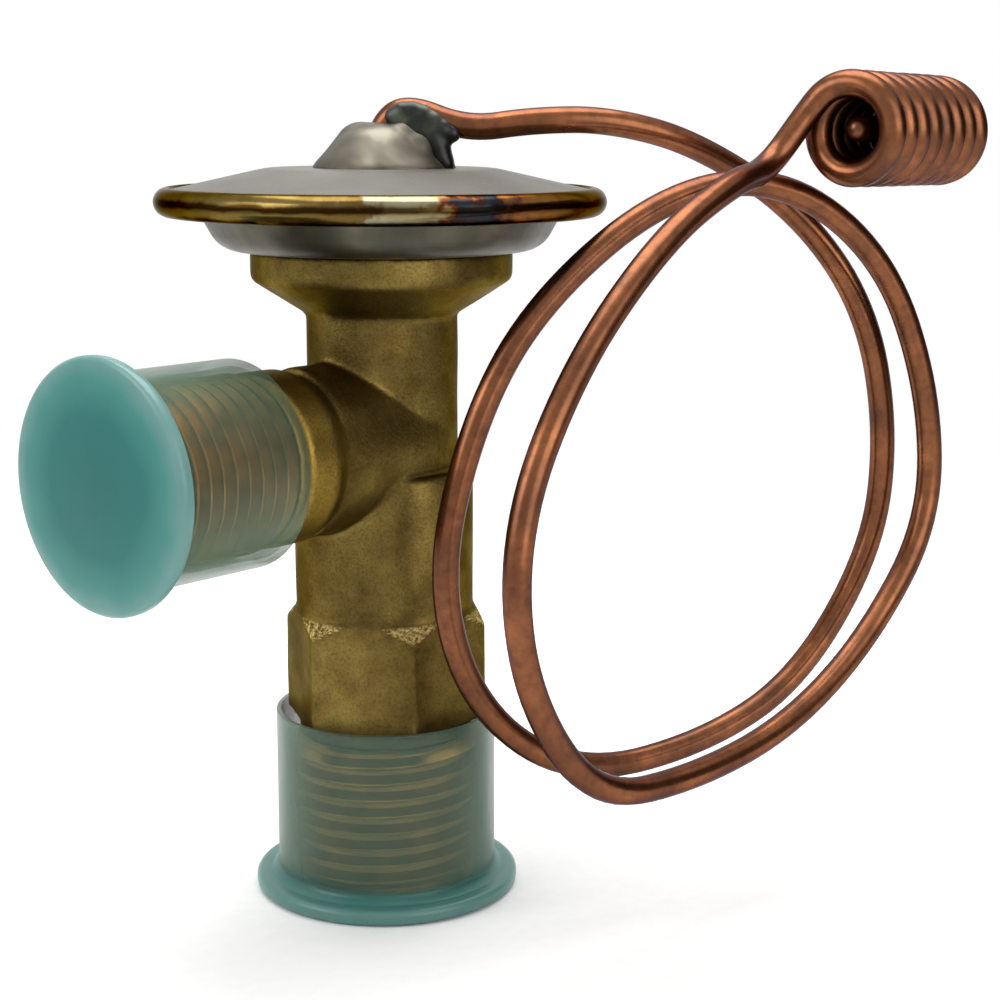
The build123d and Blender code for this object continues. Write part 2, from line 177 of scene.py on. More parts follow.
in_band = add(tree, "Math", {"operation": "MULTIPLY"},
              {0: above.outputs["Result"], 1: below.outputs["Result"]})
on_slope = add(tree, "Math", {"operation": "MULTIPLY"},
               {0: on_corner.outputs["Result"], 1: sloping.outputs["Result"]})
crumbled_and_lit_chamfer = add(tree, "Math", {"operation": "MULTIPLY"}, {0: in_band.outputs[0], 1: on_slope.outputs[0]})
crumbs = add(tree, "TexNoise", inputs={"Vector": place, "Scale": grain(0.4), "Detail": 3.0, "Roughness": 0.7})
# Painted highlight: the upward-facing corner chamfers are painted much lighter, in a crumbly pattern.
crumb_tone_painted_highlight = add(tree, "ValToRGB", {"stops": [(0.38, "#5E4A26"), (0.5, "#A48E54"), (0.62, "#D2BE80")]},
                 {"Fac": crumbs.outputs["Fac"]})
colour = add(tree, "Mix", {"data_type": "RGBA"},
             {"Factor": crumbled_and_lit_chamfer.outputs[0], 6: cut_or_not.outputs[2], 7: crumb_tone_painted_highlight.outputs["Color"]})
tree.links.new(colour.outputs[2], shader.inputs["Base Color"])
rough = add(tree, "MapRange", inputs={
    "Value": stain.outputs["Fac"], "From Min": 0.3, "From Max": 0.7, "To Min": 0.5, "To Max": 0.38})
tree.links.new(rough.outputs["Result"], shader.inputs["Roughness"])
grit = add(tree, "TexNoise", inputs={"Vector": place, "Scale": grain(0.2), "Detail": 2.0})
dents = add(tree, "TexNoise", inputs={"Vector": place, "Scale": grain(1.3), "Detail": 3.0})
dented = add(tree, "Bump", inputs={"Height": dents.outputs["Fac"], "Strength": 0.5, "Distance": 0.1 * MM})
blasted = add(tree, "Bump", inputs={
    "Height": grit.outputs["Fac"], "Strength": 0.6, "Distance": 0.05 * MM, "Normal": dented.outputs[0]})
sheared = add(tree, "Bump", inputs={
    "Height": crumbs.outputs["Fac"], "Strength": crumbled_and_lit_chamfer.outputs[0], "Distance": 0.25 * MM,
    "Normal": blasted.outputs[0]})
tree.links.new(sheared.outputs[0], shader.inputs["Normal"])
shader.inputs["Metallic"].default_value = 1.0
shader.inputs["Specular Tint"].default_value = linear("#B4B0A4")
print("finish:", forged_brass.name)

# %% [markdown]
# ## Turned brass
#
# Threads and inside parts are cut on a lathe. The cut metal is a brighter yellow than
# the forging and carries rings too fine to draw one by one, so a noise of about 0.15 mm
# breaks up the shine to a soft satin.

# %% Turned brass
turned_brass, tree, shader, place = new_finish("turned_brass")
cloud = add(tree, "TexNoise", inputs={"Vector": place, "Scale": grain(3), "Detail": 3.0})
tone = add(tree, "ValToRGB", {"stops": [(0.3, "#94702E"), (0.7, "#BE9648")]}, {"Fac": cloud.outputs["Fac"]})
tree.links.new(tone.outputs["Color"], shader.inputs["Base Color"])
rings = add(tree, "TexNoise", inputs={"Vector": place, "Scale": grain(0.15), "Detail": 1.0})
rough = add(tree, "MapRange", inputs={"Value": rings.outputs["Fac"], "To Min": 0.3, "To Max": 0.42})
tree.links.new(rough.outputs["Result"], shader.inputs["Roughness"])
shader.inputs["Metallic"].default_value = 1.0
print("finish:", turned_brass.name)

# %% [markdown]
# ## Drawn copper tube
#
# The capillary is soft drawn copper, 2.4 mm thick. Annealing leaves a brown skin with
# patches of cleaner metal, and hands leave darker marks along it. The patches run a few
# millimetres, so one noise mixes dark and light brown, a second darkens it in spots, and
# the roughness follows the first because the skin is duller than clean copper. A thin
# coat adds the pale highlights of a handled surface.

# %% Drawn copper
copper, tree, shader, place = new_finish("annealed_drawn_copper")
skin = add(tree, "TexNoise", inputs={"Vector": place, "Scale": grain(5), "Detail": 5.0, "Roughness": 0.62})
tone = add(tree, "ValToRGB",
           {"stops": [(0.3, "#55301A"), (0.46, "#693D21"), (0.6, "#7B4828"), (0.78, "#925A34")]},
           {"Fac": skin.outputs["Fac"]})
marks = add(tree, "TexNoise", inputs={"Vector": place, "Scale": grain(0.9), "Detail": 3.0})
mark_tone = add(tree, "ValToRGB", {"stops": [(0.3, "#8A8078"), (0.55, "#FFFFFF")]},
                {"Fac": marks.outputs["Fac"]})
colour = add(tree, "Mix", {"data_type": "RGBA", "blend_type": "MULTIPLY"},
             {"Factor": 0.35, 6: tone.outputs["Color"], 7: mark_tone.outputs["Color"]})
tree.links.new(colour.outputs[2], shader.inputs["Base Color"])
rough = add(tree, "MapRange", inputs={
    "Value": skin.outputs["Fac"], "From Min": 0.3, "From Max": 0.7, "To Min": 0.4, "To Max": 0.26})
tree.links.new(rough.outputs["Result"], shader.inputs["Roughness"])
drawn = add(tree, "Bump", inputs={"Height": marks.outputs["Fac"], "Strength": 0.2, "Distance": 0.03 * MM})
tree.links.new(drawn.outputs[0], shader.inputs["Normal"])
shader.inputs["Metallic"].default_value = 1.0
shader.inputs["Specular Tint"].default_value = linear("#806A52")
shader.inputs["Coat Weight"].default_value = 0.35
shader.inputs["Coat Roughness"].default_value = 0.25
print("finish:", copper.name)

# %% [markdown]
# ## Pressed stainless sheet
#
# The diaphragm case is pressed from stainless sheet. Its mill finish is an even, warm
# grey that blurs reflections, with faint cloudy patches from handling. The lower cup sits
# in the shade of the rim, and its colour is painted darker and more olive as painted shade.

# %% Stainless sheet
cover_steel, tree, shader, place = new_finish("mill_finish_stainless")
cloud = add(tree, "TexNoise", inputs={"Vector": place, "Scale": grain(9), "Detail": 5.0, "Roughness": 0.6})
tone = add(tree, "ValToRGB", {"stops": [(0.3, "#615E57"), (0.7, "#716E66")]}, {"Fac": cloud.outputs["Fac"]})
tree.links.new(tone.outputs["Color"], shader.inputs["Base Color"])
fine = add(tree, "TexNoise", inputs={"Vector": place, "Scale": grain(0.25), "Detail": 2.0})
rough = add(tree, "MapRange", inputs={"Value": fine.outputs["Fac"], "To Min": 0.36, "To Max": 0.5})
tree.links.new(rough.outputs["Result"], shader.inputs["Roughness"])
satin = add(tree, "Bump", inputs={"Height": fine.outputs["Fac"], "Strength": 0.15, "Distance": 0.02 * MM})
tree.links.new(satin.outputs[0], shader.inputs["Normal"])
shader.inputs["Metallic"].default_value = 1.0

# Painted shade: the lower cup is a darker, more olive grey than the cover, for the shade under the rim.
cup_steel_painted_shade, tree, shader, place = new_finish("stainless_painted_shade_under_rim")
cloud = add(tree, "TexNoise", inputs={"Vector": place, "Scale": grain(4), "Detail": 4.0})
tone = add(tree, "ValToRGB", {"stops": [(0.3, "#424036"), (0.55, "#535045"), (0.75, "#645F50")]},
           {"Fac": cloud.outputs["Fac"]})
tree.links.new(tone.outputs["Color"], shader.inputs["Base Color"])
rough = add(tree, "MapRange", inputs={"Value": cloud.outputs["Fac"], "To Min": 0.5, "To Max": 0.34})
tree.links.new(rough.outputs["Result"], shader.inputs["Roughness"])
shader.inputs["Metallic"].default_value = 1.0
print("finishes:", cover_steel.name, cup_steel_painted_shade.name)

# %% [markdown]
# ## Heat-tinted weld
#
# The case is closed by melting its three edges into one bead. Steel that has been that
# hot keeps an oxide film whose colour tells the temperature: straw, then brown, purple
# and blue. The tint changes mostly round the bead, so the colour is read from the angle
# about the valve's axis, and a little noise frays the borders. The torch stopped at one
# place, and there the bead is pale, then red-brown and blue. Up and down the bead a
# second ramp paints shade: it darkens the underside, and a wavering band near the middle
# as a painted dark reflection, and leaves the top as it is.

# %% Heat-tinted weld
tinted_weld, tree, shader, place = new_finish("heat_tinted_weld")
fray = add(tree, "TexNoise", inputs={"Vector": place, "Scale": grain(1.5), "Detail": 3.0})
round_axis = add(tree, "TexGradient", {"gradient_type": "RADIAL"}, {"Vector": place})
frayed = add(tree, "MapRange", inputs={
    "Value": fray.outputs["Fac"], "From Min": 0.3, "From Max": 0.7, "To Min": -0.016, "To Max": 0.016})
turn = add(tree, "Math", {"operation": "ADD"},
           {0: round_axis.outputs["Fac"], 1: frayed.outputs["Result"]})
tint = add(tree, "ValToRGB", {"stops": [
    (0.0, "#6A5A34"), (0.05, "#77653A"), (0.108, "#604E2A"), (0.116, "#8E8870"), (0.158, "#8A8262"),
    (0.168, "#663A1E"), (0.176, "#342624"), (0.187, "#2A323A"), (0.2, "#2A2428"), (0.22, "#7E5230"),
    (0.26, "#7A5A34"), (0.33, "#75602F"), (0.5, "#6A5830"), (0.62, "#7E6C42"), (0.8, "#604E2C"),
    (1.0, "#6A5A34"),
]}, {"Fac": turn.outputs[0]})
streak = add(tree, "TexNoise", inputs={"Vector": place, "Scale": grain(2.5), "Detail": 3.0})
streak_tone = add(tree, "ValToRGB", {"stops": [(0.3, "#A89C90"), (0.6, "#FFFFFF")]},
                  {"Fac": streak.outputs["Fac"]})
colour = add(tree, "Mix", {"data_type": "RGBA", "blend_type": "MULTIPLY"},
             {"Factor": 0.6, 6: tint.outputs["Color"], 7: streak_tone.outputs["Color"]})
heights = add(tree, "SeparateXYZ", inputs={"Vector": place})
wavering = add(tree, "Math", {"operation": "MULTIPLY_ADD"},
               {0: streak.outputs["Fac"], 1: 0.7 * MM, 2: heights.outputs["Z"]})
across = add(tree, "MapRange", inputs={
    "Value": wavering.outputs[0], "From Min": (64.2 + 0.35) * MM, "From Max": (66.8 + 0.35) * MM})
# Painted shade: darker at the bead's underside, and a painted dark reflection band near the middle.
weld_painted_shade_bands = add(tree, "ValToRGB", {"stops": [
    (0.05, "#5A5044"), (0.2, "#FFFFFF"), (0.38, "#E8E0D0"), (0.48, "#6A5844"), (0.62, "#7A6850"),
    (0.74, "#FFFFFF"),
]}, {"Fac": across.outputs["Result"]})
weld_colour_with_painted_shade = add(tree, "Mix", {"data_type": "RGBA", "blend_type": "MULTIPLY"},
             {"Factor": 1.0, 6: colour.outputs[2], 7: weld_painted_shade_bands.outputs["Color"]})
tree.links.new(weld_colour_with_painted_shade.outputs[2], shader.inputs["Base Color"])
shader.inputs["Metallic"].default_value = 1.0
shader.inputs["Roughness"].default_value = 0.22
shader.inputs["Specular Tint"].default_value = linear("#A8A090")
print("finish:", tinted_weld.name)

# %% [markdown]
# ## Soft solder, and the flux that it left
#
# The capillary is sealed into the cover with a cone of silver-bearing solder. It froze
# from a puddle, so it is uneven, mid grey and a little duller in some places than in
# others. The flux boiled out on one side and dried there as a dark grey-green crust.

# %% Solder and flux
solder, tree, shader, place = new_finish("frozen_silver_solder")
swirl = add(tree, "TexNoise", inputs={
    "Vector": place, "Scale": grain(4.5), "Detail": 2.0, "Roughness": 0.35, "Distortion": 0.9})
tone = add(tree, "ValToRGB",
           {"stops": [(0.36, "#48443A"), (0.46, "#575249"), (0.58, "#635E54"), (0.7, "#716C61")]},
           {"Fac": swirl.outputs["Fac"]})
tree.links.new(tone.outputs["Color"], shader.inputs["Base Color"])
rough = add(tree, "MapRange", inputs={
    "Value": swirl.outputs["Fac"], "From Min": 0.3, "From Max": 0.7, "To Min": 0.58, "To Max": 0.42})
tree.links.new(rough.outputs["Result"], shader.inputs["Roughness"])
wrinkle = add(tree, "TexNoise", inputs={"Vector": place, "Scale": grain(0.5), "Detail": 2.0})
frozen = add(tree, "Bump", inputs={"Height": wrinkle.outputs["Fac"], "Strength": 0.12, "Distance": 0.06 * MM})
tree.links.new(frozen.outputs[0], shader.inputs["Normal"])
shader.inputs["Metallic"].default_value = 1.0

flux, tree, shader, place = new_finish("dried_flux")
cloud = add(tree, "TexNoise", inputs={"Vector": place, "Scale": grain(3), "Detail": 2.0})
tone = add(tree, "ValToRGB",
           {"stops": [(0.4, "#0A0C07"), (0.54, "#12160D"), (0.68, "#3E4434"), (0.8, "#666C54")]},
           {"Fac": cloud.outputs["Fac"]})
tree.links.new(tone.outputs["Color"], shader.inputs["Base Color"])
crust = add(tree, "Bump", inputs={"Height": cloud.outputs["Fac"], "Strength": 0.06, "Distance": 0.1 * MM})
tree.links.new(crust.outputs[0], shader.inputs["Normal"])
shader.inputs["Roughness"].default_value = 0.32
shader.inputs["Specular IOR Level"].default_value = 0.3
print("finishes:", solder.name, flux.name)

# %% [markdown]
# ## Translucent polyethylene caps
#
# The transport caps are moulded in thin teal polyethylene. Through the sleeve the thread
# shows dimly, the disc and the flange are thick enough to look solid, and at its edges
# the sleeve is seen edge-on and looks milky. So it is mostly a matter of how much shows
# through: the disc is opaque with light scattered inside it, and the sleeve's opacity
# rises towards its edges with Layer Weight.

# %% Teal polyethylene
def cap_finish(name, along, disc_from, disc_to, middle, clearest, tones):
    """Teal for a cap whose disc lies between two places along one axis.

    clearest is the sleeve's opacity where it is seen face-on.
    """
    material, tree, shader, place = new_finish(name)
    axes = add(tree, "SeparateXYZ", inputs={"Vector": place})
    disc = add(tree, "MapRange", {"interpolation_type": "SMOOTHSTEP"}, {
        "Value": axes.outputs[along], "From Min": disc_from * MM, "From Max": disc_to * MM})
    location, scale = middle
    centred = add(tree, "Mapping", {"vector_type": "POINT"},
                  {"Vector": place, "Location": location, "Scale": scale})
    radius = add(tree, "VectorMath", {"operation": "LENGTH"}, {0: centred.outputs[0]})
    cloud = add(tree, "TexNoise", inputs={"Vector": place, "Scale": grain(4), "Detail": 2.0})
    fray = add(tree, "Math", {"operation": "MULTIPLY_ADD"},
               {0: cloud.outputs["Fac"], 1: 1.6 * MM, 2: radius.outputs["Value"]})
    share = add(tree, "MapRange", inputs={
        "Value": fray.outputs[0], "From Min": 0.8 * MM, "From Max": 12.8 * MM})
    disc_tone = add(tree, "ValToRGB", {"stops": tones}, {"Fac": share.outputs["Result"]})
    colour = add(tree, "Mix", {"data_type": "RGBA"},
                 {"Factor": disc.outputs["Result"], 6: "#56705F", 7: disc_tone.outputs["Color"]})
    tree.links.new(colour.outputs[2], shader.inputs["Base Color"])
    edge_on = add(tree, "LayerWeight", inputs={"Blend": 0.5})
    thick = add(tree, "MapRange", inputs={
        "Value": edge_on.outputs["Facing"], "From Min": 0.2, "From Max": 0.85,
        "To Min": clearest, "To Max": 0.84})
    opacity = add(tree, "Math", {"operation": "MAXIMUM"},
                  {0: thick.outputs["Result"], 1: disc.outputs["Result"]})
    tree.links.new(opacity.outputs[0], shader.inputs["Alpha"])
    milky = add(tree, "Math", {"operation": "MULTIPLY"}, {0: disc.outputs["Result"], 1: 0.3})
    tree.links.new(milky.outputs[0], shader.inputs["Subsurface Weight"])
    shader.inputs["Subsurface Radius"].default_value = (0.6, 1.0, 0.9)
    shader.inputs["Subsurface Scale"].default_value = 1.2 * MM
    shader.inputs["Roughness"].default_value = 0.3
    shader.inputs["Specular IOR Level"].default_value = 0.35
    ripple = add(tree, "Bump", inputs={
        "Height": cloud.outputs["Fac"], "Strength": 0.25, "Distance": 0.2 * MM})
    tree.links.new(ripple.outputs[0], shader.inputs["Normal"])
    print("finish:", name)
    return material


INLET_Z = 43.45
outlet_teal = cap_finish(
    "teal_polyethylene_outlet", "Z", 3.6, 1.4, ((0, 0, 0), (1, 1, 0)), 0.36,
    [(0.0, "#0A5C57"), (0.78, "#0A6560"), (0.88, "#34736C"), (1.0, "#557F79")])
inlet_teal = cap_finish(
    "teal_polyethylene_inlet", "X", -30.4, -32.4, ((0, 0, -INLET_Z * MM), (0, 1, 1)), 0.14,
    [(0.0, "#025E5A"), (0.5, "#08645F"), (0.74, "#347A74"), (0.94, "#6C908C")])

# %% [markdown]
# ## Hidden parts: hard steel, spring steel and woven brass
#
# These are inside the body, and a few show when a cap is pulled off, but each still gets
# its own finish. The spring wire is dark from its heat treatment. The strainer is a fine
# woven thimble, with its wires drawn 0.4 mm apart so that the weave can be seen.

# %% Steel and woven mesh
hard_steel, tree, shader, place = new_finish("hardened_steel")
cloud = add(tree, "TexNoise", inputs={"Vector": place, "Scale": grain(1.2), "Detail": 3.0})
tone = add(tree, "ValToRGB", {"stops": [(0.3, "#8E8E90"), (0.7, "#B4B3B2")]}, {"Fac": cloud.outputs["Fac"]})
tree.links.new(tone.outputs["Color"], shader.inputs["Base Color"])
shader.inputs["Metallic"].default_value = 1.0
shader.inputs["Roughness"].default_value = 0.22

spring_steel, tree, shader, place = new_finish("oil_tempered_spring_wire")
cloud = add(tree, "TexNoise", inputs={"Vector": place, "Scale": grain(0.8), "Detail": 3.0})
tone = add(tree, "ValToRGB", {"stops": [(0.3, "#3E3A38"), (0.7, "#6A6460")]}, {"Fac": cloud.outputs["Fac"]})
tree.links.new(tone.outputs["Color"], shader.inputs["Base Color"])
shader.inputs["Metallic"].default_value = 1.0
shader.inputs["Roughness"].default_value = 0.34

woven_brass, tree, shader, place = new_finish("woven_brass_mesh")
centred = add(tree, "Mapping", {"vector_type": "POINT"},
              {"Vector": place, "Location": (0, 0, -INLET_Z * MM)})
axes = add(tree, "SeparateXYZ", inputs={"Vector": centred.outputs[0]})
WIRE_SPACING = 0.4
MESH_RADIUS = 3.5
hoops = add(tree, "Math", {"operation": "MULTIPLY"}, {0: axes.outputs["X"], 1: tau / (WIRE_SPACING * MM)})
bearing = add(tree, "Math", {"operation": "ARCTAN2"}, {0: axes.outputs["Y"], 1: axes.outputs["Z"]})
ribs = add(tree, "Math", {"operation": "MULTIPLY"},
           {0: bearing.outputs[0], 1: round(tau * MESH_RADIUS / WIRE_SPACING)})
hoop_wave = add(tree, "Math", {"operation": "SINE"}, {0: hoops.outputs[0]})
rib_wave = add(tree, "Math", {"operation": "SINE"}, {0: ribs.outputs[0]})
weave = add(tree, "Math", {"operation": "MAXIMUM"}, {0: hoop_wave.outputs[0], 1: rib_wave.outputs[0]})
tone = add(tree, "ValToRGB", {"stops": [(0.1, "#2E2410"), (0.6, "#B8984C")]}, {"Fac": weave.outputs[0]})
tree.links.new(tone.outputs["Color"], shader.inputs["Base Color"])
wires = add(tree, "Bump", inputs={"Height": weave.outputs[0], "Strength": 0.8, "Distance": 0.08 * MM})
tree.links.new(wires.outputs[0], shader.inputs["Normal"])
shader.inputs["Metallic"].default_value = 1.0
shader.inputs["Roughness"].default_value = 0.35
print("finishes:", hard_steel.name, spring_steel.name, woven_brass.name)

# %% [markdown]
# ## Helpers for pieces
#
# Nearly every piece of a valve is turned or swept, so a bmesh outline in the XZ plane and
# the spin operator make most of them. Corners of an outline are rounded first, while they
# are still single vertices, because one bevel there saves bevelling a whole ring later.
# A finished mesh becomes an object at the origin, which keeps its place in its vertices.

# %% Outline, lathe and finished piece
def draw_outline(points, closed=True):
    """A wire outline from (radius, height) or (radius, height, corner rounding), in mm."""
    bm = bmesh.new()
    corners = [bm.verts.new((p[0] * MM, 0, p[1] * MM)) for p in points]
    ends = zip(corners, corners[1:] + corners[:1]) if closed else zip(corners, corners[1:])
    for a, b in ends:
        bm.edges.new((a, b))
    for corner, p in zip(corners, points):
        if len(p) == 3:
            bmesh.ops.bevel(bm, geom=[corner], offset=p[2] * MM, segments=4, profile=0.5,
                            affect="VERTICES", material=-1)
    return bm


def lathe(bm, steps=128):
    """Spins the outline once about Z and closes the shell, with its faces outwards."""
    bmesh.ops.spin(bm, geom=bm.verts[:] + bm.edges[:], cent=(0, 0, 0), axis=(0, 0, 1),
                   dvec=(0, 0, 0), angle=tau, steps=steps, use_merge=True, use_duplicate=False)
    bmesh.ops.remove_doubles(bm, verts=bm.verts, dist=0.002 * MM)
    bmesh.ops.recalc_face_normals(bm, faces=bm.faces)
    return bm


# What is drawn along +Z is laid along the inlet, which points along -X.
TO_INLET = Matrix.Translation((0, 0, INLET_Z * MM)) @ Matrix.Rotation(radians(-90), 4, "Y")


def finish_piece(bm, name, body, material, sharp=40):
    """The mesh as an object that rides on a body, smooth except at its sharp edges."""
    mesh = bpy.data.meshes.new(name)
    bm.to_mesh(mesh)
    bm.free()
    mesh.shade_smooth()
    mesh.set_sharp_from_angle(angle=radians(sharp))
    mesh.materials.append(material)
    piece = bpy.data.objects.new(name, mesh)
    bpy.context.scene.collection.objects.link(piece)
    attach(piece, body)
    mesh.calc_loop_triangles()
    print(name, "has", len(mesh.loop_triangles), "triangles")
    return piece


def remeshed(bm, voxel_mm, smoothing):
    """The bmesh rebuilt as one skin of even quads and relaxed, so hard joins melt together."""
    mesh = bpy.data.meshes.new("before_remesh")
    bm.to_mesh(mesh)
    bm.free()
    block = bpy.data.objects.new("before_remesh", mesh)
    bpy.context.scene.collection.objects.link(block)
    remesh = block.modifiers.new("one_skin", "REMESH")
    remesh.mode = "VOXEL"
    remesh.voxel_size = voxel_mm * MM
    relax = block.modifiers.new("relaxed", "SMOOTH")
    relax.factor = 0.5
    relax.iterations = smoothing
    graph = bpy.context.evaluated_depsgraph_get()
    made = bpy.data.meshes.new_from_object(block.evaluated_get(graph))
    bpy.data.objects.remove(block)
    bm = bmesh.new()
    bm.from_mesh(made)
    return bm


print("helpers ready")

# %% [markdown]
# ## The forged body
#
# Forging dies leave no sharp inside corners: the branch runs into the barrel and the
# collar into the neck with soft blends, and even the hexagon's edges are dull. Bevelling
# such joins edge by edge is hard where a round branch meets a round barrel. So a copy of
# the solid is cut off at both threads, rebuilt by a voxel Remesh as one even skin, and
# relaxed until the joins melt. A slow noise then pushes the skin in and out by a few
# hundredths of a millimetre, because no forging is perfectly true.

# %% Forged body
OUTLET_THREAD_TOP = 15.4
INLET_THREAD_START = 17.9
bm = bmesh.new()
bm.from_mesh(nodes["valve_body"].data)
bmesh.ops.remove_doubles(bm, verts=bm.verts, dist=0.001 * MM)
for cut_at, cut_way in (
    ((0, 0, OUTLET_THREAD_TOP * MM), (0, 0, -1)),
    ((-INLET_THREAD_START * MM, 0, 0), (-1, 0, 0)),
):
    cut = bmesh.ops.bisect_plane(bm, geom=bm.verts[:] + bm.edges[:] + bm.faces[:], dist=0.0001 * MM,
                                 plane_co=cut_at, plane_no=cut_way, clear_outer=True)
    rim = [g for g in cut["geom_cut"] if isinstance(g, bmesh.types.BMEdge)]
    bmesh.ops.triangle_fill(bm, edges=rim, use_beauty=True)
bmesh.ops.recalc_face_normals(bm, faces=bm.faces)
bm = remeshed(bm, voxel_mm=0.27, smoothing=3)
bm.normal_update()
for v in bm.verts:
    v.co += v.normal * noise.noise(v.co * grain(4.5)) * 0.045 * MM
body = finish_piece(bm, "forged_body", "valve", forged_brass, sharp=180)
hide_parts("valve_body")

# %% [markdown]
# ## Real threads
#
# A thread is a helix, not a row of rings. One pitch of the thread's outline, spun about
# the axis while it climbs one pitch a turn, makes it: each turn's top edge lands on the
# next turn's bottom edge and the doubles are merged. The screw is made too long, cut
# square at both ends, held inside a cone there for the lead-in chamfer, and its open ends
# are drawn in to the bore.

# %% Threads
THREAD_DEPTH_SHARE = 0.6134


def threaded_sleeve(crest, pitch, bottom, top, bore, limit, steps=72):
    """A tube with an outside unified thread, drawn along +Z; limit gives the largest radius."""
    root = crest - THREAD_DEPTH_SHARE * pitch
    outline = [(root, 0), (root, pitch / 8), (crest, pitch * 7 / 16), (crest, pitch * 9 / 16),
               (root, pitch * 7 / 8), (root, pitch)]
    turns = int((top - bottom) / pitch) + 4
    start = bottom - 2 * pitch
    bm = draw_outline([(r, z + start) for r, z in outline], closed=False)
    bmesh.ops.spin(bm, geom=bm.verts[:] + bm.edges[:], cent=(0, 0, 0), axis=(0, 0, 1),
                   dvec=(0, 0, pitch / steps * MM), angle=tau * turns, steps=steps * turns,
                   use_merge=False, use_duplicate=False)
    bmesh.ops.remove_doubles(bm, verts=bm.verts, dist=0.002 * MM)
    for height, way in ((bottom, -1), (top, 1)):
        bmesh.ops.bisect_plane(bm, geom=bm.verts[:] + bm.edges[:] + bm.faces[:], dist=0.001 * MM,
                               plane_co=(0, 0, height * MM), plane_no=(0, 0, way), clear_outer=True)
    for v in bm.verts:
        most = limit(v.co.z / MM) * MM
        out = hypot(v.co.x, v.co.y)
        if out > most:
            v.co.xy *= most / out
    open_ends = [e for e in bm.edges if e.is_boundary]
    grown = bmesh.ops.extrude_edge_only(bm, edges=open_ends)["geom"]
    for v in (g for g in grown if isinstance(g, bmesh.types.BMVert)):
        v.co.xy = v.co.xy.normalized() * bore * MM
    bmesh.ops.bridge_loops(bm, edges=[e for e in bm.edges if e.is_boundary])
    bmesh.ops.recalc_face_normals(bm, faces=bm.faces)
    return bm


BODY_END = 1.4
LEAD_IN = 1.0
OUTLET_RUNOUT_FROM = 14.75
CHAMBER_R = 11.6 / 2
OUTLET_CREST = 19.05 / 2
OUTLET_PITCH = 25.4 / 16


def outlet_limit(z):
    lead_in = OUTLET_CREST - LEAD_IN + (z - BODY_END)
    runout = OUTLET_CREST - 2 * (z - OUTLET_RUNOUT_FROM)
    return min(OUTLET_CREST, lead_in, runout)


bm = threaded_sleeve(OUTLET_CREST, OUTLET_PITCH, BODY_END, OUTLET_THREAD_TOP, CHAMBER_R, outlet_limit)
outlet_thread = finish_piece(bm, "outlet_thread", "valve", turned_brass, sharp=25)
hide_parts("valve_body")

INLET_FACE = 32.2
INLET_CREST = 15.875 / 2
INLET_PITCH = 25.4 / 18
SOCKET_BOTTOM = 21.2
SOCKET_R = 10.4 / 2
PASSAGE_R = 2.3
SOCKET_FLOOR_R = 5.3


def inlet_limit(z):
    lead_in = INLET_CREST - LEAD_IN + (INLET_FACE - z)
    runout = INLET_CREST - LEAD_IN + 2 * (z - INLET_THREAD_START)
    return min(INLET_CREST, lead_in, runout)


bm = threaded_sleeve(INLET_CREST, INLET_PITCH, INLET_THREAD_START, INLET_FACE, SOCKET_R, inlet_limit)
bmesh.ops.transform(bm, matrix=TO_INLET, verts=bm.verts)
inlet_thread = finish_piece(bm, "inlet_thread", "valve", turned_brass, sharp=25)
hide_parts("valve_body")

# The socket behind the strainer ends in a floor with the passage through it.
bm = lathe(draw_outline([
    (PASSAGE_R, INLET_THREAD_START), (SOCKET_FLOOR_R, INLET_THREAD_START),
    (SOCKET_FLOOR_R, SOCKET_BOTTOM), (PASSAGE_R, SOCKET_BOTTOM)]), steps=64)
bmesh.ops.transform(bm, matrix=TO_INLET, verts=bm.verts)
socket_floor = finish_piece(bm, "inlet_socket_floor", "valve", turned_brass)
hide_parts("valve_body")

# %% [markdown]
# ## Push-on caps
#
# Each cap is one injection moulding: a disc with a rolled flange and a thin sleeve that
# flares a little at its mouth. It could be a cylinder with its end deleted and thickness
# added, but its wall, floor and flange all differ, so its whole section is drawn once,
# with the corners rounded, and spun.

# %% Caps
def push_on_cap(inner, wall, height, flange):
    """A cap standing on its disc with its mouth upwards."""
    outer = inner + wall
    return lathe(draw_outline([
        (0, 0), (flange - 1.6, 0), (flange, 0.12, 0.45), (flange, 1.5, 0.55), (outer + 0.7, 1.5, 0.2),
        (outer, 2.1, 0.3), (outer, height, 0.14), (inner + 0.12, height, 0.1), (inner, height - 1.6),
        (inner, 1.4, 0.3), (0, 1.4)]), steps=160)


CAP_FLOOR = 1.4
bm = push_on_cap(inner=9.855, wall=0.6, height=17.6, flange=12.6)
outlet_cap = finish_piece(bm, "outlet_cap_moulding", "outlet_cover", outlet_teal)
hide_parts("outlet_cap")

bm = push_on_cap(inner=INLET_CREST + 0.45, wall=0.8, height=15.4, flange=10.8)
over = Matrix.Translation((0, 0, (INLET_FACE + CAP_FLOOR) * MM)) @ Matrix.Rotation(pi, 4, "X")
bmesh.ops.transform(bm, matrix=TO_INLET @ over, verts=bm.verts)
inlet_cap = finish_piece(bm, "inlet_cap_moulding", "inlet_cover", inlet_teal)
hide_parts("inlet_cap")

# %% [markdown]
# ## The weld bead round the case
#
# Melting rolls the three sheet edges into a half-round bead. It is spun with many steps
# and then worked like clay: a slow noise for the welder's hand, and a slight swelling
# where the weld runs over its own start.

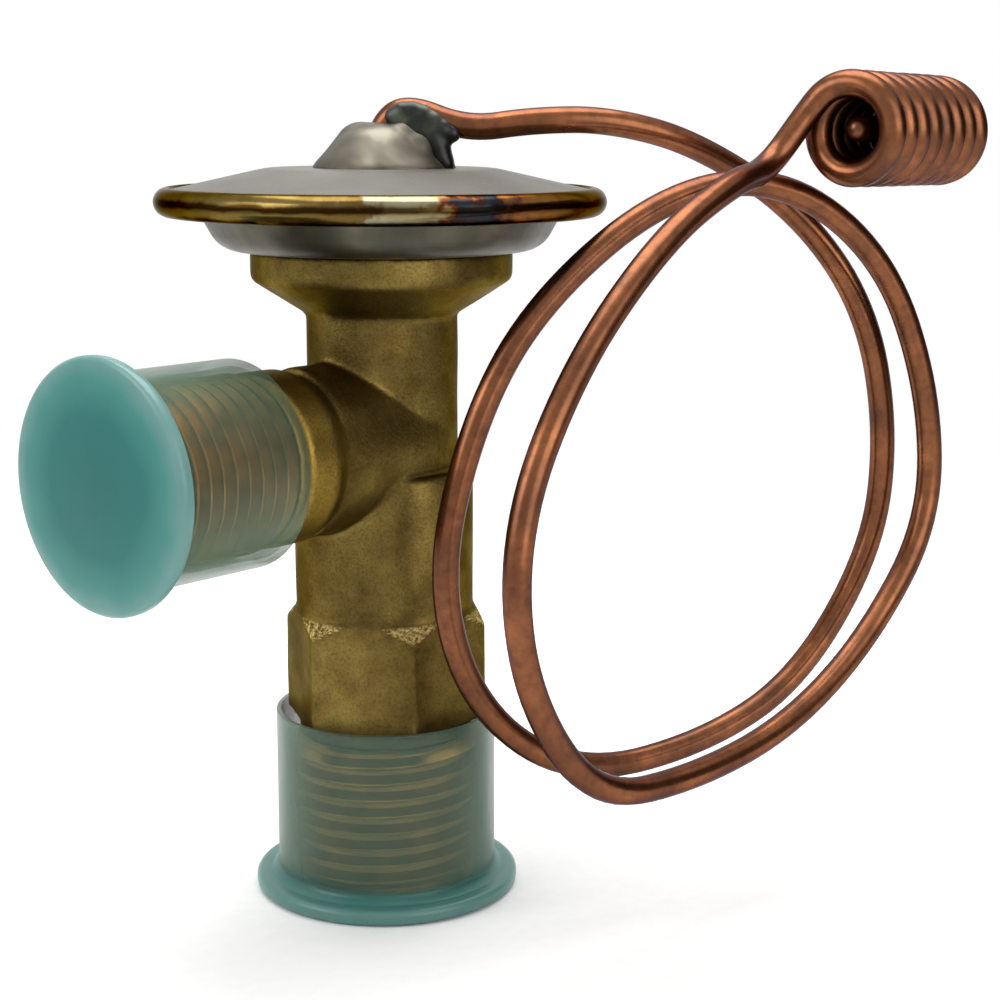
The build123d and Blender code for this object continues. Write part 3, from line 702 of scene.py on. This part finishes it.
# %% Weld bead
RIM_Z = 65.5
RIM_EDGE = 19.4
BEAD = 1.3
angles = (radians(-90 + 15 * i) for i in range(13))
arc = [(RIM_EDGE + BEAD * cos(a), RIM_Z + BEAD * sin(a)) for a in angles]
bm = lathe(draw_outline([(RIM_EDGE - 0.4, RIM_Z - 0.8)] + arc + [(RIM_EDGE - 0.4, RIM_Z + 0.8)]), steps=240)
OVERLAP_FROM, OVERLAP_TO = -141, -119
for v in bm.verts:
    bearing = degrees(atan2(v.co.y, v.co.x))
    wander = noise.noise(v.co * grain(5)) * 0.05 - 0.05
    ripple = 0.012 * sin(radians(bearing) * 130)
    lapped = 0.07 if OVERLAP_FROM < bearing < OVERLAP_TO else 0
    v.co.xy *= 1 + (wander + ripple + lapped) / RIM_EDGE
weld = finish_piece(bm, "case_weld_bead", "valve", tinted_weld, sharp=60)
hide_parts("rim_weld")

# %% [markdown]
# ## The solder cone
#
# Solder runs up the tube and freezes with a slumped, uneven skin. A turned cone gives the
# main form. A few balls are merged into it for the runs, the whole is remeshed into one
# skin and relaxed, and a slow noise takes away its regularity.

# %% Solder cone and flux
COVER_TOP = 68.5
bell = [(0, COVER_TOP - 0.3), (6.3, COVER_TOP - 0.3), (6.3, COVER_TOP + 0.1), (6.0, COVER_TOP + 0.45, 0.3),
        (4.75, COVER_TOP + 1.95, 0.6), (3.7, COVER_TOP + 3.25, 0.7), (2.6, COVER_TOP + 3.8, 0.5),
        (1.4, COVER_TOP + 4.1, 0.3), (0, COVER_TOP + 4.1)]
bm = lathe(draw_outline(bell), steps=96)
# Swellings where the last of the solder ran: out under the bend, to the left, and up the web.
SWELLINGS = ((1.9, -2.3, 70.2, 2.4), (-1.4, 1.2, 70.3, 2.4), (2.6, -4.0, 68.1, 2.2),
             (0.5, -2.4, 71.2, 1.7), (1.1, -3.4, 70.2, 1.9))
for x, y, z, r in SWELLINGS:
    bmesh.ops.create_icosphere(bm, subdivisions=4, radius=r * MM,
                               matrix=Matrix.Translation(Vector((x, y, z)) * MM))
bm = remeshed(bm, voxel_mm=0.16, smoothing=34)
bm.normal_update()
for v in bm.verts:
    height = v.co.z / MM - COVER_TOP
    v.co += v.normal * noise.noise(v.co * grain(3.8)) * 0.16 * min(1, max(0, height)) * MM
solder_cone = finish_piece(bm, "solder_cone_skin", "valve", solder, sharp=180)
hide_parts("solder_cone")

# The flux hangs in the bend like a web, a little to one side of the plane in which the
# tube bends. Each ball of the web is given as its way out, its height and its radius.
BEND_WAY = Vector((4.3, -6.7, 0)).normalized()
BEND_ACROSS = Vector((0, 0, 1)).cross(BEND_WAY)
web = [(1.4, 73.1, 0.95), (2.2, 73.4, 1.1), (3.1, 73.4, 1.15), (4.0, 73.1, 1.15), (4.9, 72.5, 1.2),
       (5.8, 71.9, 1.15), (6.7, 71.6, 0.9), (2.0, 72.6, 1.1), (3.0, 72.3, 1.3), (4.0, 71.8, 1.4),
       (4.9, 71.3, 1.4), (5.3, 70.6, 1.3), (5.5, 70.0, 1.2), (5.7, 69.4, 1.15), (6.0, 68.9, 1.0)]
WEB_FORWARD = -0.75
bm = bmesh.new()
for out, height, r in web:
    centre = BEND_WAY * out + BEND_ACROSS * WEB_FORWARD + Vector((0, 0, height))
    bmesh.ops.create_icosphere(bm, subdivisions=3, radius=r * MM, matrix=Matrix.Translation(centre * MM))
bm = remeshed(bm, voxel_mm=0.11, smoothing=70)
finish_piece(bm, "flux_residue", "valve", flux, sharp=180)

# %% [markdown]
# ## The capillary and its sensing coil
#
# This is one stiff copper tube. It leaves the solder upright, bends over, makes two loops
# beside the valve and is wound into a close coil, with its sealed end turned back inside.
# A smooth line through a few dozen points, thickened by the curve's own bevel, gives an
# even tube with no seams, and its turns are points of the same line. Order 3 rounds every
# corner, and the line touches the middle of each run between two points, so the coil's
# points lie on a slightly larger circle than the coil. The head's bend is tight, so it
# has points of its own. In the coil the tube is 2% thicker, which closes its turns up.

# %% Capillary and sensing coil
TUBE_R = 1.2
ROUTE = [
    (0.0, 0.0, 67.0), (0.0, 0.0, 69.3), (0.0, 0.0, 72.2), (1.25, -1.95, 74.1), (4.3, -6.7, 71.9),
    (7.6, -11.6, 72.8), (12.8, -16.4, 72.9),
    (21.2, -20.3, 70.7), (32.7, -24.3, 64.2), (36.4, -29.9, 54.9), (39.2, -31.0, 42.6), (39.1, -30.0, 30.7),
    (30.4, -27.3, 18.6), (19.7, -23.4, 13.8), (6.1, -18.6, 12.9), (-4.0, -15.0, 20.7), (-7.7, -13.7, 33.1),
    (-4.5, -15.1, 47.1), (1.0, -17.8, 57.2), (12.1, -23.0, 66.4), (23.1, -28.3, 67.9), (33.5, -33.2, 60.4),
    (38.6, -35.7, 47.5), (39.8, -35.9, 34.4), (30.4, -34.9, 24.2), (18.9, -33.8, 18.1), (5.8, -32.5, 16.1),
    (-7.6, -31.2, 17.1), (-15.9, -30.4, 28.5), (-17.0, -30.3, 41.5), (-10.0, -30.6, 53.6), (1.2, -31.0, 63.3),
    (11.0, -31.3, 67.8), (18.6, -29.4, 68.3),
]
COIL_FRONT = Vector((22.3, -35.4, 72.15))
COIL_R = 3.93
COIL_PITCH = 2.43
START_ANGLE = radians(38)
COIL_TURNS = 8
LAST_ANGLE = COIL_TURNS * tau - radians(31.3)
along = Matrix.Rotation(radians(3.2), 3, "Z") @ Matrix.Rotation(radians(0.85), 3, "Y") @ Vector((1, 0, 0))
side = Vector((0, 0, 1)).cross(along).normalized()
rise = along.cross(side)
TURN_POINTS = 24
STEP = tau / TURN_POINTS
CLOSED_UP = 1.02


def on_coil(angle, radius):
    """A point of the coil's helix, in mm."""
    return (COIL_FRONT + side * radius * cos(angle) + rise * radius * sin(angle)
            + along * COIL_PITCH * (angle - START_ANGLE) / tau)


first_way = (rise * cos(START_ANGLE) - side * sin(START_ANGLE)
             + along * COIL_PITCH / (tau * COIL_R)).normalized()
points = [Vector(p) for p in ROUTE] + [on_coil(START_ANGLE, COIL_R) - first_way * 1.5]
lead_points = len(points)
turns = [START_ANGLE + STEP * (i + 0.5) for i in range(int((LAST_ANGLE - START_ANGLE) / STEP))]
points += [on_coil(angle, COIL_R / cos(STEP / 2)) for angle in turns]
probe_z = COIL_PITCH * (LAST_ANGLE - START_ANGLE) / tau
points += [COIL_FRONT + side * COIL_R * 1.06 + rise * 0.2 + along * (probe_z + 0.35),
           COIL_FRONT + along * (probe_z + 0.25),
           COIL_FRONT + along * (probe_z - 2.6),
           COIL_FRONT + along * (probe_z - 16.8)]
line = bpy.data.curves.new("capillary_line", "CURVE")
line.dimensions = "3D"
spline = line.splines.new("NURBS")
spline.points.add(len(points) - 1)
for i, (point, place_mm) in enumerate(zip(spline.points, points)):
    point.co = (*(place_mm * MM), 1.0)
    point.radius = CLOSED_UP if lead_points <= i < lead_points + len(turns) else 1.0
spline.order_u = 3
spline.use_endpoint_u = True
spline.resolution_u = 10
line.bevel_depth = TUBE_R * MM
line.bevel_resolution = 4
guide = bpy.data.objects.new("capillary_line", line)
bpy.context.scene.collection.objects.link(guide)
graph = bpy.context.evaluated_depsgraph_get()
tube_mesh = bpy.data.meshes.new_from_object(guide.evaluated_get(graph))
bpy.data.objects.remove(guide)
bm = bmesh.new()
bm.from_mesh(tube_mesh)
bmesh.ops.remove_doubles(bm, verts=bm.verts, dist=0.001 * MM)
bmesh.ops.holes_fill(bm, edges=[e for e in bm.edges if e.is_boundary], sides=0)
# The sealed end is drawn out into a round nose, one inset ring at a time.
tip = points[-1] * MM
nose = min((f for f in bm.faces if len(f.verts) > 4), key=lambda f: (f.calc_center_median() - tip).length)
NOSE_RINGS = 4
for i in range(NOSE_RINGS):
    low, high = (radians(80 * k / NOSE_RINGS) for k in (i, i + 1))
    bmesh.ops.inset_individual(bm, faces=[nose], thickness=TUBE_R * (cos(low) - cos(high)) * MM,
                               depth=TUBE_R * (sin(high) - sin(low)) * MM, use_even_offset=True)
bmesh.ops.recalc_face_normals(bm, faces=bm.faces)
capillary = finish_piece(bm, "capillary", "valve", copper, sharp=60)
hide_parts("capillary_tube")

# %% [markdown]
# ## The superheat spring
#
# The spring holds the ball against its seat. It has to shorten when the valve opens, so
# the solid's rigid spring is replaced: a small circle is spun up the axis, one pitch a
# turn, and the finished mesh is given a copy of its own.

# %% Spring
SPRING_BOTTOM = 13.0
SPRING_TOP = 27.437
SPRING_MEAN_R = 3.9
WIRE = 1.0
SPRING_TURNS = 6
climb = (SPRING_TOP - SPRING_BOTTOM - WIRE) / SPRING_TURNS
bm = bmesh.new()
foot = Vector((SPRING_MEAN_R, 0, SPRING_BOTTOM + WIRE / 2))
stand = Matrix.Translation(foot * MM) @ Matrix.Rotation(pi / 2, 4, "X")
bmesh.ops.create_circle(bm, cap_ends=False, segments=12, radius=WIRE / 2 * MM, matrix=stand)
TURN_STEPS = 40
bmesh.ops.spin(bm, geom=bm.verts[:] + bm.edges[:], cent=(0, 0, 0), axis=(0, 0, 1),
               dvec=(0, 0, climb / TURN_STEPS * MM), angle=tau * SPRING_TURNS,
               steps=TURN_STEPS * SPRING_TURNS, use_merge=False, use_duplicate=False)
bmesh.ops.holes_fill(bm, edges=[e for e in bm.edges if e.is_boundary], sides=0)
bmesh.ops.recalc_face_normals(bm, faces=bm.faces)
spring = finish_piece(bm, "superheat_spring_coil", "valve", spring_steel)
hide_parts("superheat_spring")
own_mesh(spring)

# %% [markdown]
# ## Finishes for the parts that keep their solids
#
# The remaining parts are already right as turned or pressed solids. They keep their
# meshes and only get the finish of what they are made of.

# %% Finishes on the solids
finishes = {
    "upper_cover": cover_steel,
    "lower_cup": cup_steel_painted_shade,
    "diaphragm": cover_steel,
    "thrust_plate": turned_brass,
    "push_rod_front": hard_steel,
    "push_rod_back": hard_steel,
    "seat_insert": hard_steel,
    "valve_ball": hard_steel,
    "ball_carrier": turned_brass,
    "spring_seat": turned_brass,
    "adjusting_nut": turned_brass,
    "strainer_ring": turned_brass,
    "strainer_screen": woven_brass,
}
for name, material in finishes.items():
    mesh = nodes[name].data
    mesh.materials.clear()
    mesh.materials.append(material)
print("finished", len(finishes), "solids")

# %% [markdown]
# ## Floor, light and camera
#
# The valve stands on a pale floor under soft light that comes mostly from above, which
# leaves the neck and the branch in the shade of the case. The world is plain white to a
# ray that sees, mirrors or passes straight at it. Only light scattered off a surface
# meets the grey room behind that white, which is dimmer on the camera's side. Metal
# mirrors the white, so one dark card gives it something darker to show.

# %% Floor
def shows_background(tree):
    """One for a ray that looks, mirrors or passes straight at the background, else zero."""
    ray = add(tree, "LightPath")
    mirrored = add(tree, "Math", {"operation": "MAXIMUM"},
                   {0: ray.outputs["Is Camera Ray"], 1: ray.outputs["Is Glossy Ray"]})
    return add(tree, "Math", {"operation": "MAXIMUM"},
               {0: mirrored.outputs[0], 1: ray.outputs["Is Transmission Ray"]}).outputs[0]


FLOOR_R = 3.0
floor_paper, tree, shader, place = new_finish("white_table_paper")
fibre = add(tree, "TexNoise", inputs={"Vector": place, "Scale": grain(1.5), "Detail": 3.0})
tone = add(tree, "ValToRGB", {"stops": [(0.3, "#FAFAF9"), (0.7, "#FEFEFE")]}, {"Fac": fibre.outputs["Fac"]})
tree.links.new(tone.outputs["Color"], shader.inputs["Base Color"])
shader.inputs["Roughness"].default_value = 0.9
shader.inputs["Specular IOR Level"].default_value = 0.1
away = add(tree, "VectorMath", {"operation": "LENGTH"}, {0: place})
far = add(tree, "MapRange", {"interpolation_type": "SMOOTHSTEP"},
          {"Value": away.outputs["Value"], "From Min": 0.08, "From Max": 0.3})
plain = add(tree, "Emission", inputs={"Color": "#FFFFFF", "Strength": 1.0})
straight = shows_background(tree)
share = add(tree, "Math", {"operation": "MULTIPLY"}, {0: far.outputs["Result"], 1: straight})
blend = add(tree, "MixShader", inputs={0: share.outputs[0], 1: shader.outputs[0], 2: plain.outputs[0]})
output = next(n for n in tree.nodes if n.type == "OUTPUT_MATERIAL")
tree.links.new(blend.outputs[0], output.inputs["Surface"])
bm = bmesh.new()
bmesh.ops.create_circle(bm, cap_ends=True, segments=96, radius=FLOOR_R)
floor_mesh = bpy.data.meshes.new("floor")
bm.to_mesh(floor_mesh)
bm.free()
floor_mesh.materials.append(floor_paper)
floor = bpy.data.objects.new("floor", floor_mesh)
bpy.context.scene.collection.objects.link(floor)
floor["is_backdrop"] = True
print("floor laid")

# %% Lights and world
def soft_box(name, at, aim, size, power, colour="#FFFFFF"):
    """A square area light that faces a point; places in mm, size in metres, power in watts."""
    data = bpy.data.lights.new(name, "AREA")
    data.size = size
    data.energy = power
    data.color = linear(colour)[:3]
    lamp = bpy.data.objects.new(name, data)
    lamp.location = Vector(at) * MM
    lamp.rotation_mode = "QUATERNION"
    lamp.rotation_quaternion = (Vector(aim) - Vector(at)).to_track_quat("-Z", "Y")
    bpy.context.scene.collection.objects.link(lamp)
    return lamp


soft_box("overhead", (60, 40, 420), (5, -10, 40), 0.34, 1.9)
soft_box("left_window", (-380, 160, 260), (0, 0, 40), 0.26, 0.9)
soft_box("front_fill", (-40, -420, 160), (0, 0, 40), 0.3, 0.7)

# The camera never sees this card, and it throws no shadow; only what mirrors it turns darker.
card_felt, tree, shader, place = new_finish("dark_card_felt")
nap = add(tree, "TexNoise", inputs={"Vector": place, "Scale": grain(3), "Detail": 2.0})
tone = add(tree, "ValToRGB", {"stops": [(0.3, "#1C1C1C"), (0.7, "#2A2A2A")]}, {"Fac": nap.outputs["Fac"]})
tree.links.new(tone.outputs["Color"], shader.inputs["Base Color"])
shader.inputs["Roughness"].default_value = 0.95
CARD_WAY = Vector((0.75, -0.66, 0.12)).normalized()
CARD_AWAY = 450
CARD_SIZE = 480
bm = bmesh.new()
bmesh.ops.create_grid(bm, x_segments=1, y_segments=1, size=CARD_SIZE / 2 * MM)
stand = Matrix.Translation(CARD_WAY * CARD_AWAY * MM) @ CARD_WAY.to_track_quat("Z", "Y").to_matrix().to_4x4()
bmesh.ops.transform(bm, matrix=stand, verts=bm.verts)
card_mesh = bpy.data.meshes.new("dark_card")
bm.to_mesh(card_mesh)
bm.free()
card_mesh.materials.append(card_felt)
card = bpy.data.objects.new("dark_card", card_mesh)
bpy.context.scene.collection.objects.link(card)
card.visible_camera = False
card.visible_transmission = False
card.visible_shadow = False
card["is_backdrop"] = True

world = bpy.data.worlds.new("studio")
bpy.context.scene.world = world
world.use_nodes = True
tree = world.node_tree
tree.nodes.clear()
look = add(tree, "TexCoord").outputs["Generated"]
axes = add(tree, "SeparateXYZ", inputs={"Vector": look})
overhead = add(tree, "ValToRGB", {"stops": [
    (0.0, "#C8C8C8"), (0.42, "#A8A8A8"), (0.52, "#6E6E6E"), (0.75, "#D8D8D8")]})
height = add(tree, "MapRange", inputs={"Value": axes.outputs["Z"], "From Min": -1.0, "From Max": 1.0})
tree.links.new(height.outputs["Result"], overhead.inputs["Fac"])
TO_CAMERA = (-0.7453, -0.6385, 0.1922)
toward = add(tree, "VectorMath", {"operation": "DOT_PRODUCT"}, {0: look, 1: TO_CAMERA})
behind = add(tree, "MapRange", {"interpolation_type": "SMOOTHSTEP"},
             {"Value": toward.outputs["Value"], "From Min": 0.1, "From Max": 0.9,
              "To Min": 1.0, "To Max": 0.45})
room = add(tree, "Mix", {"data_type": "RGBA", "blend_type": "MULTIPLY"},
           {"Factor": 1.0, 6: overhead.outputs["Color"], 7: behind.outputs["Result"]})
room_light = add(tree, "Background", inputs={"Color": room.outputs[2], "Strength": 1.0})
white = add(tree, "Background", inputs={"Color": "#FFFFFF", "Strength": 1.0})
blend = add(tree, "MixShader",
            inputs={0: shows_background(tree), 1: room_light.outputs[0], 2: white.outputs[0]})
add(tree, "OutputWorld", inputs={"Surface": blend.outputs[0]})
print("lights set")

# %% Camera
lens = bpy.data.cameras.new("camera")
lens.sensor_width = 36.0
lens.lens = 70.88
lens.clip_start = 0.01
camera = bpy.data.objects.new("camera", lens)
bpy.context.scene.collection.objects.link(camera)
camera.location = (-0.1313, -0.1269, 0.0733)
forward = Vector((0.7453, 0.6385, -0.1922))
camera.rotation_mode = "QUATERNION"
roll = Matrix.Rotation(radians(0.14), 3, "Z").to_quaternion()
camera.rotation_quaternion = forward.to_track_quat("-Z", "Y") @ roll
bpy.context.scene.camera = camera
bpy.context.scene.view_settings.view_transform = "Standard"
print("camera set")

# %% [markdown]
# ## Close the scene
#
# The dressed valve must be the same size as its solids, so the largest difference
# between their boxes is printed, in millimetres.

# %% Sizes and finish
visual_box = [list(corner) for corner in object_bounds()]
differences = [abs(a - b) / MM for p, q in zip(cad_box, visual_box) for a, b in zip(p, q)]
print("largest difference, mm:", max(differences))
